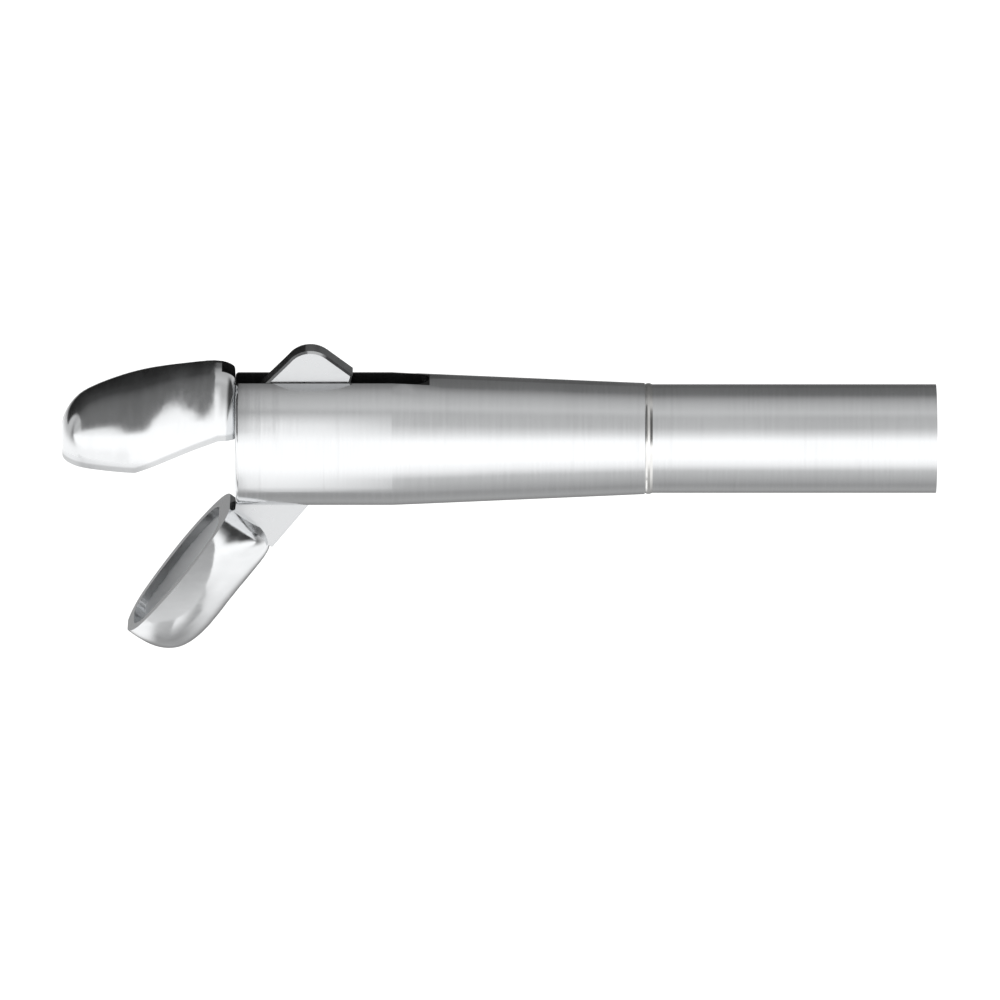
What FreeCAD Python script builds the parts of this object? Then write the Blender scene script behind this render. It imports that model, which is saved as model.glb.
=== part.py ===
import FreeCAD, Part
import math
import os
import Sketcher

# Working end of a rigid cup-jaw biopsy forceps, in millimetres.
# X runs along the shaft towards the handle, Z is up, and the origin is the
# centre of the shaft tube's cut end. The jaws are modelled open, at rest.

doc = FreeCAD.newDocument("biopsy_forceps")
dims = doc.addObject("Spreadsheet::Sheet", "dims")

SIZES = [
    # shaft
    ("tube_len", 13.05, "visible length of the shaft tube"),
    ("tube_rad", 2.5, "outer radius of the shaft tube"),
    ("tube_bore", 2.05, "bore radius of the shaft tube"),
    ("ring_wid", 0.35, "width of the brazed ring between tube and head"),
    ("ring_proud", 0.05, "height of the brazed ring above the tube"),
    # jaw housing
    ("head_len", 18.8, "jaw housing, from the brazed ring to its front face"),
    ("head_rad", 3.06, "outer radius of the housing at the jaws"),
    ("head_full", 7.2, "length of the housing at full radius"),
    ("head_tail", 2.56, "outer radius of the housing at the ring"),
    ("head_bore", 1.95, "bore radius for the fork"),
    ("head_deep", 16.6, "depth of the fork bore from the front face"),
    ("head_edge", 0.15, "rounding of the housing's front edge"),
    ("spigot_len", 3.0, "housing's spigot inside the shaft tube"),
    ("spigot_bore", 1.3, "bore radius through the spigot"),
    # slot for the tang of the moving jaw
    ("slot_wid", 1.3, "width of the slot through housing and fixed jaw"),
    ("slot_back", 8.9, "closed end of the slot behind the front face"),
    ("slot_fore", 0.6, "run of the slot into the fixed jaw"),
    # cups
    ("cup_len", 8.0, "fixed cup, from the housing face to the tip"),
    ("fore_back", 1.7, "fore section of the cups behind the tip"),
    ("mid_at", 4.1, "middle section of the cups ahead of the face"),
    ("aft_at", 1.8, "aft section of the cups ahead of the face"),
    ("nose_wide", 1.6, "half width of both cups at the nose"),
    ("fore_wide", 2.2, "half width of both cups at the fore section"),
    ("mid_wide", 2.6, "half width of both cups at the middle section"),
    ("aft_wide", 2.3, "half width of both cups at the aft section"),
    ("heel_wide", 1.6, "half width of the moving cup at the heel"),
    ("neck_wide", 2.15, "half width of the fixed cup at its neck"),
    ("nose_high", 1.78, "fixed cup's height above the shaft axis at the nose"),
    ("fore_high", 2.6, "fixed cup's height at the fore section"),
    ("mid_high", 3.32, "fixed cup's height at the middle section"),
    ("aft_high", 3.7, "fixed cup's height at the aft section"),
    ("heel_high", 3.62, "fixed cup's height at the heel"),
    ("nose_round", 1.2, "blend radius round the fixed cup's nose"),
    ("heel_round", 0.3, "blend radius round the fixed cup's heel"),
    ("cup_wall", 0.5, "wall of the cups"),
    ("heel_wall", 1.1, "wall behind the hollow"),
    ("hollow_round", 0.8, "blend radius inside the cups"),
    ("rim_drop", 0.7, "cutting rim below the shaft axis"),
    ("rim_gap", 0.04, "gap between the two rims when closed"),
    ("relief_fore", 4.6, "start of the fixed rim's relief ahead of the face"),
    ("relief_back", 0.8, "end of the fixed rim's relief ahead of the face"),
    ("relief_top", 0.75, "height of the relieved rim above the shaft axis"),
    ("tenon_len", 1.7, "fixed jaw's tenons inside the housing bore"),
    ("tenon_gap", 0.01, "braze gap round the tenons"),
    ("low_drop", 0.98, "moving cup's own axis below the shaft axis"),
    ("low_nose", 2.2, "moving cup's depth below its axis at the nose"),
    ("low_fore", 2.6, "moving cup's depth at the fore section"),
    ("low_mid", 2.65, "moving cup's depth at the middle section"),
    ("low_aft", 2.64, "moving cup's depth at the aft section"),
    ("low_heel", 2.55, "moving cup's depth at the heel"),
    ("low_tip", 1.35, "blend radius round the moving cup's nose"),
    ("low_back", 1.0, "blend radius round the moving cup's heel"),
    ("heel_gap", 0.12, "moving cup's heel ahead of the housing face"),
    # pivot and tang of the moving jaw
    ("jaw_angle", 52.2, "opening angle in degrees"),
    ("pivot_back", 2.2, "pivot behind the housing face"),
    ("pivot_drop", 2.05, "pivot below the shaft axis"),
    ("pivot_rad", 0.45, "pivot pin radius"),
    ("pin_gap", 0.03, "running clearance of the pins in the moving jaw"),
    ("tang_gap", 0.1, "side clearance of the tang in the slot"),
    ("tang_back", 8.4, "rear edge of the tang behind the face, closed"),
    ("tang_top", 1.46, "top of the tang's rear corner above the axis, closed"),
    ("tang_heel", 1.28, "lower rear corner of the tang below the axis"),
    ("tang_fore", 4.75, "front end of the tang's top edge behind the face"),
    ("tang_rise", 0.27, "rise of the tang's top edge towards the front"),
    ("tang_round", 1.25, "rounding of the tang's top rear corner"),
    ("boss_rad", 1.55, "tang's radius round the pivot"),
    ("tang_edge", 0.1, "chamfer along the tang's edges"),
    ("neck_low", 3.55, "neck's lower edge at the heel below the axis"),
    ("neck_top", 1.3, "neck's upper edge at the heel below the axis"),
    # drive
    ("drive_high", 0.45, "drive pin above the shaft axis"),
    ("drive_rad", 0.4, "drive pin radius"),
    ("drive_lead", 0.9, "drive pin behind the pivot when open"),
    ("drive_rate", 3.0, "travel of the drive in mm per radian of the jaw"),
    ("fork_gap", 0.08, "running clearance of the fork in the housing bore"),
    ("cheek_thick", 0.6, "thickness of each fork cheek"),
    ("cheek_rad", 0.9, "half height of the fork cheeks"),
    ("cheek_len", 3.6, "cheeks, from the drive pin to the fork's hub"),
    ("hub_len", 2.1, "fork's hub on the rod"),
    ("hub_edge", 0.2, "chamfer of the hub"),
    ("rod_rad", 0.8, "drive rod radius"),
    ("rod_seat", 0.35, "solid web between slot and rod in the hub"),
    ("key_rad", 0.3, "radius of the pin that fixes the rod in the hub"),
    # guides
    ("guide_gap", 0.03, "running clearance of the rod in its guides"),
    ("guide_len", 4.0, "front guide bush"),
    ("rear_len", 2.5, "rear guide bush"),
    ("rear_in", 1.5, "rear guide bush inside the cut end"),
]

for row, (alias, value, note) in enumerate(SIZES, start=1):
    dims.set("A%d" % row, alias)
    dims.set("B%d" % row, str(value))
    dims.setAlias("B%d" % row, alias)
    dims.set("C%d" % row, note)
doc.recompute()


def named(text):
    """Turn names of sizes into references to the sheet's cells."""
    for alias in sorted((entry[0] for entry in SIZES), key=len, reverse=True):
        text = text.replace(alias, "dims." + alias)
    return text


# Places along the shaft and in height, as expressions of the sheet's sizes.
RING = "(0 - tube_len)"
TAIL = "(0 - tube_len - ring_wid)"
FACE = "(0 - tube_len - ring_wid - head_len)"
PIVOT_X = "(%s + pivot_back)" % FACE
PIVOT_Z = "(0 - pivot_drop)"
DRIVE_X = "(%s + drive_lead)" % PIVOT_X
HUB = "(%s + cheek_len)" % DRIVE_X
HUB_END = "(%s + hub_len)" % HUB
TRAVEL = "(drive_rate * jaw_angle * pi / 180)"


def size(text):
    """Value of an expression of the sheet's sizes."""
    return float(dims.evalExpression(named(text)))


def new_body(name):
    body = doc.addObject("PartDesign::Body", name)
    body.Label = name
    return body


def new_sketch(body, name, plane):
    sketch = body.newObject("Sketcher::SketchObject", name)
    for feature in body.Origin.OriginFeatures:
        if feature.Role == plane:
            sketch.AttachmentSupport = [(feature, "")]
    sketch.MapMode = "FlatFace"
    return sketch


def hold(sketch, geometry, point, across, up):
    """Hold one point of a sketch at a place given by two expressions."""
    for kind, text in (("DistanceX", across), ("DistanceY", up)):
        rule = Sketcher.Constraint(kind, -1, 1, geometry, point, size(text))
        number = sketch.addConstraint(rule)
        sketch.setExpression("Constraints[%d]" % number, named(text))


def outline(sketch, corners):
    """Closed outline of straight lines, every corner held by the sheet."""
    places = [FreeCAD.Vector(size(a), size(b), 0) for a, b in corners]
    first = None
    for number, place in enumerate(places):
        after = places[(number + 1) % len(places)]
        line = sketch.addGeometry(Part.LineSegment(place, after), False)
        hold(sketch, line, 1, corners[number][0], corners[number][1])
        if first is None:
            first = line
        else:
            sketch.addConstraint(Sketcher.Constraint("Coincident", line - 1, 2, line, 1))
    sketch.addConstraint(Sketcher.Constraint("Coincident", line, 2, first, 1))


def circle(sketch, across, up, radius):
    """Circle whose centre and radius are held by the sheet."""
    centre = FreeCAD.Vector(size(across), size(up), 0)
    ring = Part.Circle(centre, FreeCAD.Vector(0, 0, 1), size(radius))
    geometry = sketch.addGeometry(ring, False)
    hold(sketch, geometry, 3, across, up)
    number = sketch.addConstraint(Sketcher.Constraint("Radius", geometry, size(radius)))
    sketch.setExpression("Constraints[%d]" % number, named(radius))


def turned(body, name, corners):
    """Solid of revolution about X from an outline above the axis."""
    sketch = new_sketch(body, name + "_profile", "XZ_Plane")
    outline(sketch, corners)
    feature = body.newObject("PartDesign::Revolution", name)
    feature.Profile = sketch
    feature.ReferenceAxis = (sketch, ["H_Axis"])
    feature.Angle = 360.0
    doc.recompute()
    return feature


def removing(body, feature):
    """Check that a cut takes material away, and turn it round if not."""
    doc.recompute()
    before = feature.BaseFeature.Shape.Volume
    if abs(before - feature.Shape.Volume) < 1e-6:
        feature.Reversed = not feature.Reversed
        doc.recompute()
    if feature.Shape.Volume > before - 1e-6:
        raise RuntimeError(feature.Name + " removes nothing")
    return feature


def milled(body, name, plane, draw, width):
    """Pocket to both sides of a plane, as wide as an expression says."""
    sketch = new_sketch(body, name + "_profile", plane)
    draw(sketch)
    feature = body.newObject("PartDesign::Pocket", name)
    feature.Profile = sketch
    feature.SideType = "Symmetric"
    feature.Length = size(width)
    feature.setExpression("Length", named(width))
    return removing(body, feature)


def plate(body, name, draw, width):
    """Pad to both sides of the XZ plane."""
    sketch = new_sketch(body, name + "_profile", "XZ_Plane")
    draw(sketch)
    feature = body.newObject("PartDesign::Pad", name)
    feature.Profile = sketch
    feature.SideType = "Symmetric"
    feature.Length = size(width)
    feature.setExpression("Length", named(width))
    doc.recompute()
    return feature


def rounded(body, name, radius, wanted):
    """Fillet on the edges of the body's tip that a test picks out."""
    base = body.Tip
    picked = []
    for number, edge in enumerate(base.Shape.Edges, start=1):
        if wanted(edge):
            picked.append("Edge%d" % number)
    if not picked:
        raise RuntimeError(name + " finds no edge")
    feature = body.newObject("PartDesign::Fillet", name)
    feature.Base = (base, picked)
    feature.Radius = size(radius)
    feature.setExpression("Radius", named(radius))
    doc.recompute()
    return feature


def bevelled(body, name, width, wanted):
    """Chamfer on the edges of the body's tip that a test picks out."""
    base = body.Tip
    picked = []
    for number, edge in enumerate(base.Shape.Edges, start=1):
        if wanted(edge):
            picked.append("Edge%d" % number)
    if not picked:
        raise RuntimeError(name + " finds no edge")
    feature = body.newObject("PartDesign::Chamfer", name)
    feature.Base = (base, picked)
    feature.Size = size(width)
    feature.setExpression("Size", named(width))
    doc.recompute()
    return feature


def ring_at(across, radius):
    """Test for a circular edge round X at a place and radius."""
    def wanted(edge):
        if edge.Degenerated or not isinstance(edge.Curve, Part.Circle):
            return False
        place = edge.Curve.Center
        near = abs(place.x - size(across)) < 1e-4
        return near and abs(edge.Curve.Radius - size(radius)) < 1e-4
    return wanted


def slot_outline(sketch, front, back):
    """Slot along X with a full radius at its rear end."""
    half = "(slot_wid / 2)"
    centre = "(%s - slot_wid / 2)" % back
    a = FreeCAD.Vector(size(front), -size(half), 0)
    b = FreeCAD.Vector(size(centre), -size(half), 0)
    c = FreeCAD.Vector(size(back), 0, 0)
    d = FreeCAD.Vector(size(centre), size(half), 0)
    e = FreeCAD.Vector(size(front), size(half), 0)
    low = sketch.addGeometry(Part.LineSegment(a, b), False)
    end = sketch.addGeometry(Part.Arc(b, c, d), False)
    top = sketch.addGeometry(Part.LineSegment(d, e), False)
    face = sketch.addGeometry(Part.LineSegment(e, a), False)
    hold(sketch, low, 1, front, "(0 - slot_wid / 2)")
    hold(sketch, end, 3, centre, "(slot_wid - slot_wid)")
    hold(sketch, top, 2, front, half)
    sketch.addConstraint(Sketcher.Constraint("Tangent", low, 2, end, 1))
    sketch.addConstraint(Sketcher.Constraint("Tangent", end, 2, top, 1))
    sketch.addConstraint(Sketcher.Constraint("Coincident", top, 2, face, 1))
    sketch.addConstraint(Sketcher.Constraint("Coincident", face, 2, low, 1))


ZERO = "(cup_len - cup_len)"
TIP = "(%s - cup_len)" % FACE


def oval_section(body, name, across, level, wide, high):
    """Sketch of an upright oval square to X, at a place along the shaft.

    level is the height of its centre, wide and high its half width and half
    height. The oval is always higher than it is wide.
    """
    sketch = new_sketch(body, name, "YZ_Plane")
    sketch.AttachmentOffset.Base.z = size(across)
    sketch.setExpression("AttachmentOffset.Base.z", named(across))
    centre = FreeCAD.Vector(0, size(level), 0)
    top = centre + FreeCAD.Vector(0, size(high), 0)
    flank = centre + FreeCAD.Vector(size(wide), 0, 0)
    oval = sketch.addGeometry(Part.Ellipse(top, flank, centre), False)
    sketch.exposeInternalGeometry(oval)
    hold(sketch, oval, 3, ZERO, level)
    sketch.addConstraint(Sketcher.Constraint("Vertical", oval + 1))
    for line, text in ((oval + 1, "(2 * %s)" % high), (oval + 2, "(2 * %s)" % wide)):
        number = sketch.addConstraint(Sketcher.Constraint("Distance", line, size(text)))
        sketch.setExpression("Constraints[%d]" % number, named(text))
    return sketch


def lofted(body, name, kind, level, sections):
    """Loft through upright ovals, given as place, half width, half height."""
    sketches = []
    for number, (across, wide, high) in enumerate(sections, start=1):
        label = "%s_section_%d" % (name, number)
        sketches.append(oval_section(body, label, across, level, wide, high))
    doc.recompute()
    feature = body.newObject("PartDesign::" + kind, name)
    feature.Profile = sketches[0]
    feature.Sections = sketches[1:]
    feature.Ruled = False
    feature.Closed = False
    doc.recompute()
    return feature


def cup_sections(heights, heel, heel_half, wall, rear, tip_round, heel_round):
    """Ovals of a cup from its nose to its heel, wall within the outside.

    heights are the half heights at the nose, fore, middle and aft sections
    and the heel. Both ends are rounded: their ovals follow a quarter circle.
    rear is how far the last oval lies ahead of the heel.
    """
    sections = []
    for share in (0.02, 0.1, 0.35, 0.7):
        depth = "(%s + %s * %s)" % (wall, tip_round, share)
        inset = "(%s + %s * %.9f)" % (wall, tip_round, 1 - math.sqrt(1 - (1 - share) ** 2))
        run = "%s / fore_back" % depth
        wide = "(nose_wide + (fore_wide - nose_wide) * %s - %s)" % (run, inset)
        high = "(%s + (%s - %s) * %s - %s)" % (heights[0], heights[1], heights[0], run, inset)
        sections.append(("(%s + %s)" % (TIP, depth), wide, high))
    stations = (
        ("fore", "(%s + fore_back)" % TIP),
        ("mid", "(%s - mid_at)" % FACE),
        ("aft", "(%s - aft_at)" % FACE),
    )
    for number, (name, place) in enumerate(stations, start=1):
        sections.append((place, "(%s_wide - %s)" % (name, wall), "(%s - %s)" % (heights[number], wall)))
    for share in (0.7, 0.3, 0.05):
        depth = "(%s + %s * %s)" % (rear, heel_round, share)
        inset = "(%s + %s * %.9f)" % (wall, heel_round, 1 - math.sqrt(1 - (1 - share) ** 2))
        run = "%s / (%s - %s + aft_at)" % (depth, heel, FACE)
        wide = "(%s + (aft_wide - %s) * %s - %s)" % (heel_half, heel_half, run, inset)
        high = "(%s + (%s - %s) * %s - %s)" % (heights[4], heights[3], heights[4], run, inset)
        sections.append(("(%s - %s)" % (heel, depth), wide, high))
    return sections


UPPER = ("nose_high", "fore_high", "mid_high", "aft_high", "heel_high")
LOWER = ("low_nose", "low_fore", "low_mid", "low_aft", "low_heel")
LOW_BACK = "(%s - heel_gap)" % FACE


def upper_cup(body):
    """Outside of the fixed cup: oval from above, rising from nose to heel."""
    ovals = cup_sections(UPPER, FACE, "neck_wide", ZERO, ZERO, "nose_round", "heel_round")
    lofted(body, "bowl", "AdditiveLoft", ZERO, ovals)


def upper_hollow(body):
    """Inside of the fixed cup, a wall's thickness within its outside."""
    ovals = cup_sections(
        UPPER, FACE, "neck_wide", "cup_wall", "heel_wall", "(nose_round - cup_wall)", "hollow_round")
    removing(body, lofted(body, "hollow", "SubtractiveLoft", ZERO, ovals))


def lower_cup(body):
    """Outside of the moving cup: the same oval from above, evenly deep."""
    ovals = cup_sections(LOWER, LOW_BACK, "heel_wide", ZERO, ZERO, "low_tip", "low_back")
    lofted(body, "bowl", "AdditiveLoft", "(0 - low_drop)", ovals)


def lower_hollow(body):
    """Inside of the moving cup, a wall's thickness within its outside."""
    ovals = cup_sections(
        LOWER, LOW_BACK, "heel_wide", "cup_wall", "(heel_wall - cup_wall / 2)",
        "(low_tip - cup_wall)", "hollow_round")
    removing(body, lofted(body, "hollow", "SubtractiveLoft", "(0 - low_drop)", ovals))


WIDE = "(6 * head_rad)"

# Shaft tube, cut square at the origin, where the handle's end carries on.
shaft_tube = new_body("shaft_tube")
turned(shaft_tube, "tube", [
    (RING, "tube_bore"),
    ("(tube_len - tube_len)", "tube_bore"),
    ("(tube_len - tube_len)", "tube_rad"),
    (RING, "tube_rad"),
])

# Brazed ring that closes the joint between the tube and the jaw housing.
braze_ring = new_body("braze_ring")
turned(braze_ring, "ring", [
    (TAIL, "tube_bore"),
    (RING, "tube_bore"),
    (RING, "tube_rad"),
    ("(%s - ring_wid / 3)" % RING, "(tube_rad + ring_proud)"),
    ("(%s + ring_wid / 3)" % TAIL, "(tube_rad + ring_proud)"),
    (TAIL, "tube_rad"),
])

# Jaw housing: turned outside with a long taper, stepped bore, spigot in the
# tube, a slot from top to bottom for the tang and a cross hole for the pivot.
jaw_housing = new_body("jaw_housing")
STEP = "(%s + head_deep)" % FACE
turned(jaw_housing, "housing", [
    (FACE, "head_bore"),
    (STEP, "head_bore"),
    (STEP, "spigot_bore"),
    ("(%s + spigot_len)" % TAIL, "spigot_bore"),
    ("(%s + spigot_len)" % TAIL, "tube_bore"),
    (TAIL, "tube_bore"),
    (TAIL, "head_tail"),
    ("(%s + head_full)" % FACE, "head_rad"),
    (FACE, "head_rad"),
])
rounded(jaw_housing, "front_edge", "head_edge", ring_at(FACE, "head_rad"))
milled(
    jaw_housing, "tang_slot", "XY_Plane",
    lambda sketch: slot_outline(sketch, "(%s - slot_fore)" % FACE, "(%s + slot_back)" % FACE),
    WIDE,
)
milled(
    jaw_housing, "pivot_hole", "XZ_Plane",
    lambda sketch: circle(sketch, PIVOT_X, PIVOT_Z, "pivot_rad"),
    WIDE,
)

# Fixed upper jaw: half an olive, hollowed, its cutting rim relieved towards
# the heel, with two tenons brazed into the housing bore.
fixed_jaw = new_body("fixed_jaw")
upper_cup(fixed_jaw)
tenons = new_sketch(fixed_jaw, "tenon_profile", "XZ_Plane")
outline(tenons, [
    ("(%s - heel_round)" % FACE, ZERO),
    ("(%s + tenon_len)" % FACE, "(cup_len - cup_len)"),
    ("(%s + tenon_len)" % FACE, "(head_bore - tenon_gap)"),
    ("(%s - heel_round)" % FACE, "(head_bore - tenon_gap)"),
])
tenon = fixed_jaw.newObject("PartDesign::Revolution", "tenon")
tenon.Profile = tenons
tenon.ReferenceAxis = (tenons, ["H_Axis"])
tenon.Angle = 360.0
doc.recompute()
milled(
    fixed_jaw, "tang_slot", "XY_Plane",
    lambda sketch: outline(sketch, [
        ("(%s - slot_fore)" % FACE, "(0 - slot_wid / 2)"),
        ("(%s + tenon_len + head_rad)" % FACE, "(0 - slot_wid / 2)"),
        ("(%s + tenon_len + head_rad)" % FACE, "(slot_wid / 2)"),
        ("(%s - slot_fore)" % FACE, "(slot_wid / 2)"),
    ]),
    WIDE,
)
upper_hollow(fixed_jaw)
milled(
    fixed_jaw, "rim", "XZ_Plane",
    lambda sketch: outline(sketch, [
        ("(%s - cup_len - head_rad)" % FACE, "(0 - rim_drop)"),
        ("(%s - cup_len - head_rad)" % FACE, "(0 - 2 * aft_high)"),
        ("(%s + tenon_len + head_rad)" % FACE, "(0 - 2 * aft_high)"),
        ("(%s + tenon_len + head_rad)" % FACE, "relief_top"),
        ("(%s - relief_back)" % FACE, "relief_top"),
        ("(%s - relief_fore)" % FACE, "(0 - rim_drop)"),
    ]),
    WIDE,
)

# Moving lower jaw, drawn closed and then opened about the pivot: a hollow
# cup with a flat cutting rim, and a neck and tang in one plate.
moving_jaw = new_body("moving_jaw")
lower_cup(moving_jaw)
lower_hollow(moving_jaw)
milled(
    moving_jaw, "rim", "XZ_Plane",
    lambda sketch: outline(sketch, [
        ("(%s - cup_len - head_rad)" % FACE, "(0 - rim_drop - rim_gap)"),
        ("(%s + head_rad)" % FACE, "(0 - rim_drop - rim_gap)"),
        ("(%s + head_rad)" % FACE, "(2 * aft_high)"),
        ("(%s - cup_len - head_rad)" % FACE, "(2 * aft_high)"),
    ]),
    WIDE,
)


def tang_outline(sketch):
    """Neck and tang: a plate from the heel's wall round the pivot to the cam."""
    root = "(%s - heel_gap - cup_wall)" % FACE
    low = size("neck_low")
    # The lower edge runs from the neck to touch the boss from below.
    reach = math.hypot(size(PIVOT_X) - size(root), size(PIVOT_Z) + low)
    fall = math.atan2(size(PIVOT_Z) + low, size(PIVOT_X) - size(root))
    lift = fall + math.acos(size("boss_rad") / reach)
    touch = (
        "(%s - boss_rad * cos(%.9f))" % (PIVOT_X, math.degrees(lift)),
        "(%s - boss_rad * sin(%.9f))" % (PIVOT_Z, math.degrees(lift)),
    )
    rear = ("(%s + tang_back)" % FACE, "(0 - tang_heel)")
    reach = math.hypot(size(rear[0]) - size(PIVOT_X), size(rear[1]) - size(PIVOT_Z))
    rise = math.atan2(size(rear[1]) - size(PIVOT_Z), size(rear[0]) - size(PIVOT_X))
    turn = rise - math.acos(size("boss_rad") / reach)
    leave = (
        "(%s + boss_rad * cos(%.9f))" % (PIVOT_X, math.degrees(turn)),
        "(%s + boss_rad * sin(%.9f))" % (PIVOT_Z, math.degrees(turn)),
    )
    top = "tang_top"
    round_x = "(%s + tang_back - tang_round)" % FACE
    round_z = "(tang_top - tang_round)"
    corners = [
        (root, "(0 - neck_top)"),
        (root, "(0 - neck_low)"),
        touch,
        leave,
        rear,
        (rear[0], round_z),
        (round_x, top),
        ("(%s + tang_fore)" % FACE, "(tang_top + tang_rise)"),
    ]
    places = [FreeCAD.Vector(size(a), size(b), 0) for a, b in corners]
    pivot = FreeCAD.Vector(size(PIVOT_X), size(PIVOT_Z), 0)
    bend = FreeCAD.Vector(size(round_x), size(round_z), 0)
    arcs = {2: (pivot, size("boss_rad"), PIVOT_X, PIVOT_Z), 5: (bend, size("tang_round"), round_x, round_z)}
    points = {}
    for number, place in enumerate(places):
        after = places[(number + 1) % len(places)]
        if number in arcs:
            centre, radius, across, up = arcs[number]
            middle = (place + after) * 0.5 - centre
            middle = centre + middle * (radius / middle.Length)
            geometry = sketch.addGeometry(Part.Arc(place, middle, after), False)
            ends = (1, 2)
            if sketch.getPoint(geometry, 1).distanceToPoint(place) > 1e-6:
                ends = (2, 1)
        else:
            geometry = sketch.addGeometry(Part.LineSegment(place, after), False)
            ends = (1, 2)
        points[number] = (geometry, ends)
    for number in range(len(places)):
        geometry, ends = points[number]
        other, others = points[(number + 1) % len(places)]
        sketch.addConstraint(Sketcher.Constraint("Coincident", geometry, ends[1], other, others[0]))
        if number in arcs:
            hold(sketch, geometry, 3, arcs[number][2], arcs[number][3])
            hold(sketch, geometry, ends[0], corners[number][0], corners[number][1])
            pick = "DistanceX" if number == 5 else "DistanceY"
            text = corners[number + 1][0 if number == 5 else 1]
            rule = Sketcher.Constraint(pick, -1, 1, geometry, ends[1], size(text))
            held = sketch.addConstraint(rule)
            sketch.setExpression("Constraints[%d]" % held, named(text))
        elif number - 1 not in arcs:
            hold(sketch, geometry, ends[0], corners[number][0], corners[number][1])


plate(moving_jaw, "tang", tang_outline, "(slot_wid - 2 * tang_gap)")


def tang_rim(edge):
    """The tang's long edges behind the cup, on both of its sides."""
    if edge.Degenerated:
        return False
    box = edge.BoundBox
    half = size("(slot_wid / 2 - tang_gap)")
    flat = box.YMax - box.YMin < 1e-4 and abs(abs(box.YMax) - half) < 1e-4
    return flat and box.XMin > size("(%s + boss_rad / 4)" % FACE)


bevelled(moving_jaw, "tang_edges", "tang_edge", tang_rim)
milled(
    moving_jaw, "pivot_eye", "XZ_Plane",
    lambda sketch: circle(sketch, PIVOT_X, PIVOT_Z, "(pivot_rad + pin_gap)"),
    WIDE,
)


def cam_point(share, side):
    """Point of the cam slot's wall where the drive pin touches it.

    share is how far the jaw has closed, 0 open to 1 closed, and side is the
    wall's distance from the pin's path. The pin moves along X in step with
    the jaw's angle, so the path is worked out in the closed jaw's frame.
    """
    left = "(jaw_angle * (1 - %s))" % share
    lead = "(drive_lead + %s * %s)" % (TRAVEL, share)
    rise = "(drive_high + pivot_drop)"
    along = "(%s * cos(%s) + %s * sin(%s))" % (lead, left, rise, left)
    up = "(%s * cos(%s) - %s * sin(%s))" % (rise, left, lead, left)
    # Direction of the path at this point, for the offset to the wall.
    run = "(drive_rate * cos(%s) + %s * sin(%s) - %s * cos(%s))" % (left, lead, left, rise, left)
    climb = "(%s * sin(%s) - drive_rate * sin(%s) + %s * cos(%s))" % (rise, left, left, lead, left)
    far = "sqrt(%s * %s + %s * %s)" % (run, run, climb, climb)
    across = "(%s + %s - %s * %s / %s)" % (PIVOT_X, along, side, climb, far)
    level = "(%s + %s + %s * %s / %s)" % (PIVOT_Z, up, side, run, far)
    return across, level


def cam_slot(sketch):
    """Curved slot that follows the drive pin, with a full radius at each end."""
    half = "(drive_rad + pin_gap)"
    walls = []
    for side in ("(0 - %s)" % half, half):
        texts = [cam_point(str(share / 6.0), side) for share in range(7)]
        spots = [FreeCAD.Vector(size(a), size(b), 0) for a, b in texts]
        curve = Part.BSplineCurve()
        curve.interpolate(spots)
        walls.append((sketch.addGeometry(curve, False), spots))
    for share, end in (("0", 1), ("1", 2)):
        across, up = cam_point(share, "(drive_rad - drive_rad)")
        centre = FreeCAD.Vector(size(across), size(up), 0)
        one = walls[0][1][0 if end == 1 else -1]
        two = walls[1][1][0 if end == 1 else -1]
        inward = walls[0][1][3] + walls[1][1][3] - centre * 2
        side = FreeCAD.Vector(one.y - two.y, two.x - one.x, 0)
        if side.dot(inward) > 0:
            side = side * -1
        bulge = centre + side * (size(half) / side.Length)
        arc = sketch.addGeometry(Part.Arc(one, bulge, two), False)
        order = (1, 2)
        if sketch.getPoint(arc, 1).distanceToPoint(one) > 1e-6:
            order = (2, 1)
        sketch.addConstraint(Sketcher.Constraint("Coincident", arc, order[0], walls[0][0], end))
        sketch.addConstraint(Sketcher.Constraint("Coincident", arc, order[1], walls[1][0], end))


milled(moving_jaw, "cam", "XZ_Plane", cam_slot, WIDE)
opened = FreeCAD.Rotation(FreeCAD.Vector(0, -1, 0), size("jaw_angle"))
moving_jaw.Placement = FreeCAD.Placement(FreeCAD.Vector(0, 0, 0), opened)
swing = "(%s - %s * cos(jaw_angle) + %s * sin(jaw_angle))" % (PIVOT_X, PIVOT_X, PIVOT_Z)
heave = "(%s - %s * sin(jaw_angle) - %s * cos(jaw_angle))" % (PIVOT_Z, PIVOT_X, PIVOT_Z)
moving_jaw.setExpression("Placement.Base.x", named(swing))
moving_jaw.setExpression("Placement.Base.z", named(heave))

# Pivot pin, riveted in the housing and ground flush with its outside.
pin_bar = doc.addObject("Part::Cylinder", "pivot_bar")
pin_bar.setExpression("Radius", named("pivot_rad"))
pin_bar.setExpression("Height", named("(2 * head_rad)"))
pin_bar.Placement = FreeCAD.Placement(
    FreeCAD.Vector(0, 0, 0), FreeCAD.Rotation(FreeCAD.Vector(1, 0, 0), 90)
)
pin_bar.setExpression("Placement.Base.x", named(PIVOT_X))
pin_bar.setExpression("Placement.Base.y", named("head_rad"))
pin_bar.setExpression("Placement.Base.z", named(PIVOT_Z))
pin_skin = doc.addObject("Part::Cylinder", "pivot_skin")
pin_skin.setExpression("Radius", named("head_rad"))
pin_skin.setExpression("Height", named("(4 * pivot_rad)"))
pin_skin.Placement = FreeCAD.Placement(
    FreeCAD.Vector(0, 0, 0), FreeCAD.Rotation(FreeCAD.Vector(0, 1, 0), 90)
)
pin_skin.setExpression("Placement.Base.x", named("(%s - 2 * pivot_rad)" % PIVOT_X))
pivot_pin = doc.addObject("Part::Common", "pivot_pin")
pivot_pin.Label = "pivot_pin"
pivot_pin.Base = pin_bar
pivot_pin.Tool = pin_skin
doc.recompute()

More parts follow.
